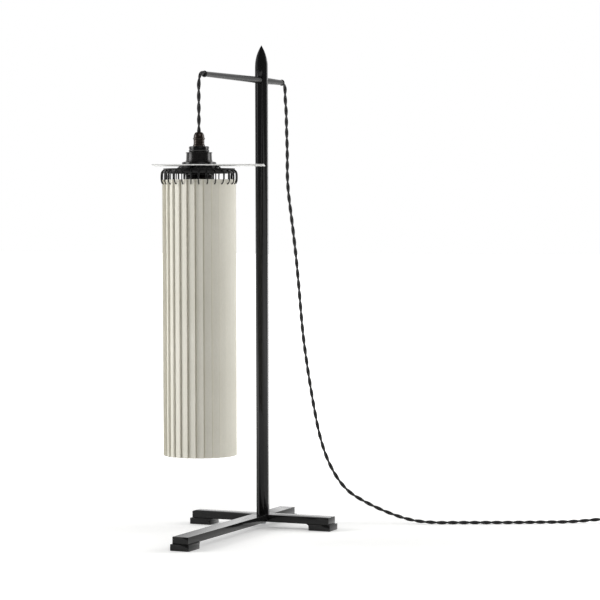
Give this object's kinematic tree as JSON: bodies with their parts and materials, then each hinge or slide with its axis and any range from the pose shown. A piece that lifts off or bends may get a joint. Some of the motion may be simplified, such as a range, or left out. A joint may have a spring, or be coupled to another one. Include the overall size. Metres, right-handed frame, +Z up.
{
  "type": "pleated paper table lamp",
  "caption": "Table lamp with a pleated paper cylinder shade hung by wire rings from a crossbar on an octagonal post over a long cross base.",
  "frame": {"origin": "on the floor, under the middle of the stand's length and width", "axes": "+Z up along the post; the crossbar and the long base beam run along Y, with the shade hanging on the -Y side"},
  "size_m": [0.7234, 0.6943, 0.758],
  "materials": {
    "black_wood": "satin black lacquer",
    "felt": "felt",
    "zinc_steel": "zinc plated",
    "brass_fitting": "plain",
    "bar_metal": "satin dark grey",
    "black_rubber": "matte",
    "black_cord": "braided textile over two cores",
    "black_plastic": "fine grain",
    "pin_metal": "nickel plated",
    "dark_bronze": "dark bronze, semi gloss",
    "white_plate": "matte white",
    "porcelain": "glazed",
    "clear_glass": "clear",
    "filament": "coated",
    "cream_paper": "matte pleated paper",
    "black_wire": "black coated wire"
  },
  "bodies": {
    "stand": {"base_beam_long": "black_wood", "base_beam_cross": "black_wood", "foot_front": "black_wood", "pad_front": "felt", "foot_back": "black_wood", "pad_back": "felt", "foot_left": "black_wood", "pad_left": "felt", "foot_right": "black_wood", "pad_right": "felt", "foot_screws": "zinc_steel", "post": "black_wood", "post_insert": "brass_fitting", "post_bolt": "zinc_steel", "post_washer": "zinc_steel", "crossbar": "bar_metal", "bush_front": "black_rubber", "bush_back": "black_rubber", "lock_screw": "zinc_steel", "cord_in_bar": "black_cord", "cord_run": "black_cord", "cord_tail": "black_cord", "cord_coil": "black_cord", "cord_lead": "black_cord", "switch_base": "black_plastic", "switch_cover": "black_plastic", "switch_screws": "zinc_steel", "plug_relief": "black_rubber", "plug_body": "black_plastic", "plug_pins": "pin_metal"},
    "rocker": {"switch_rocker": "black_plastic"},
    "neck": {"cord_neck": "black_cord"},
    "drop": {"cord_drop": "black_cord"},
    "shade": {"cord_grip": "dark_bronze", "holder_collar": "dark_bronze", "holder_body": "dark_bronze", "holder_flange": "dark_bronze", "top_plate": "white_plate", "holder_nut": "dark_bronze", "socket_core": "porcelain", "socket_contact": "brass_fitting", "socket_shell": "pin_metal", "bulb_cap": "pin_metal", "bulb_contact": "brass_fitting", "bulb_glass": "clear_glass", "bulb_stem": "clear_glass", "bulb_filaments": "filament", "shade_hoop": "black_wire", "pleated_shade": "cream_paper", "hanging_rings": "black_wire", "shade_spider": "black_wire"}
  },
  "joints": [
    {"name": "swing_fore_aft", "type": "hinge", "parent": "stand", "child": "neck", "pos_m": [0, -0.124, 0.6821], "axis": [1, 0, 0], "range_deg": [-14, 14]},
    {"name": "swing_sideways", "type": "hinge", "parent": "neck", "child": "drop", "pos_m": [0, -0.124, 0.6781], "axis": [0, 1, 0], "range_deg": [-20, 20]},
    {"name": "shade_turn", "type": "hinge", "parent": "drop", "child": "shade", "pos_m": [0, -0.124, 0.612], "axis": [0, 0, 1], "range_deg": [-180, 180]},
    {"name": "switch_rock", "type": "hinge", "parent": "stand", "child": "rocker", "pos_m": [0.5266, 0.36256, 0.014], "axis": [-0.3987, 0.9171, 0], "range_deg": [-18, 0]}
  ]
}
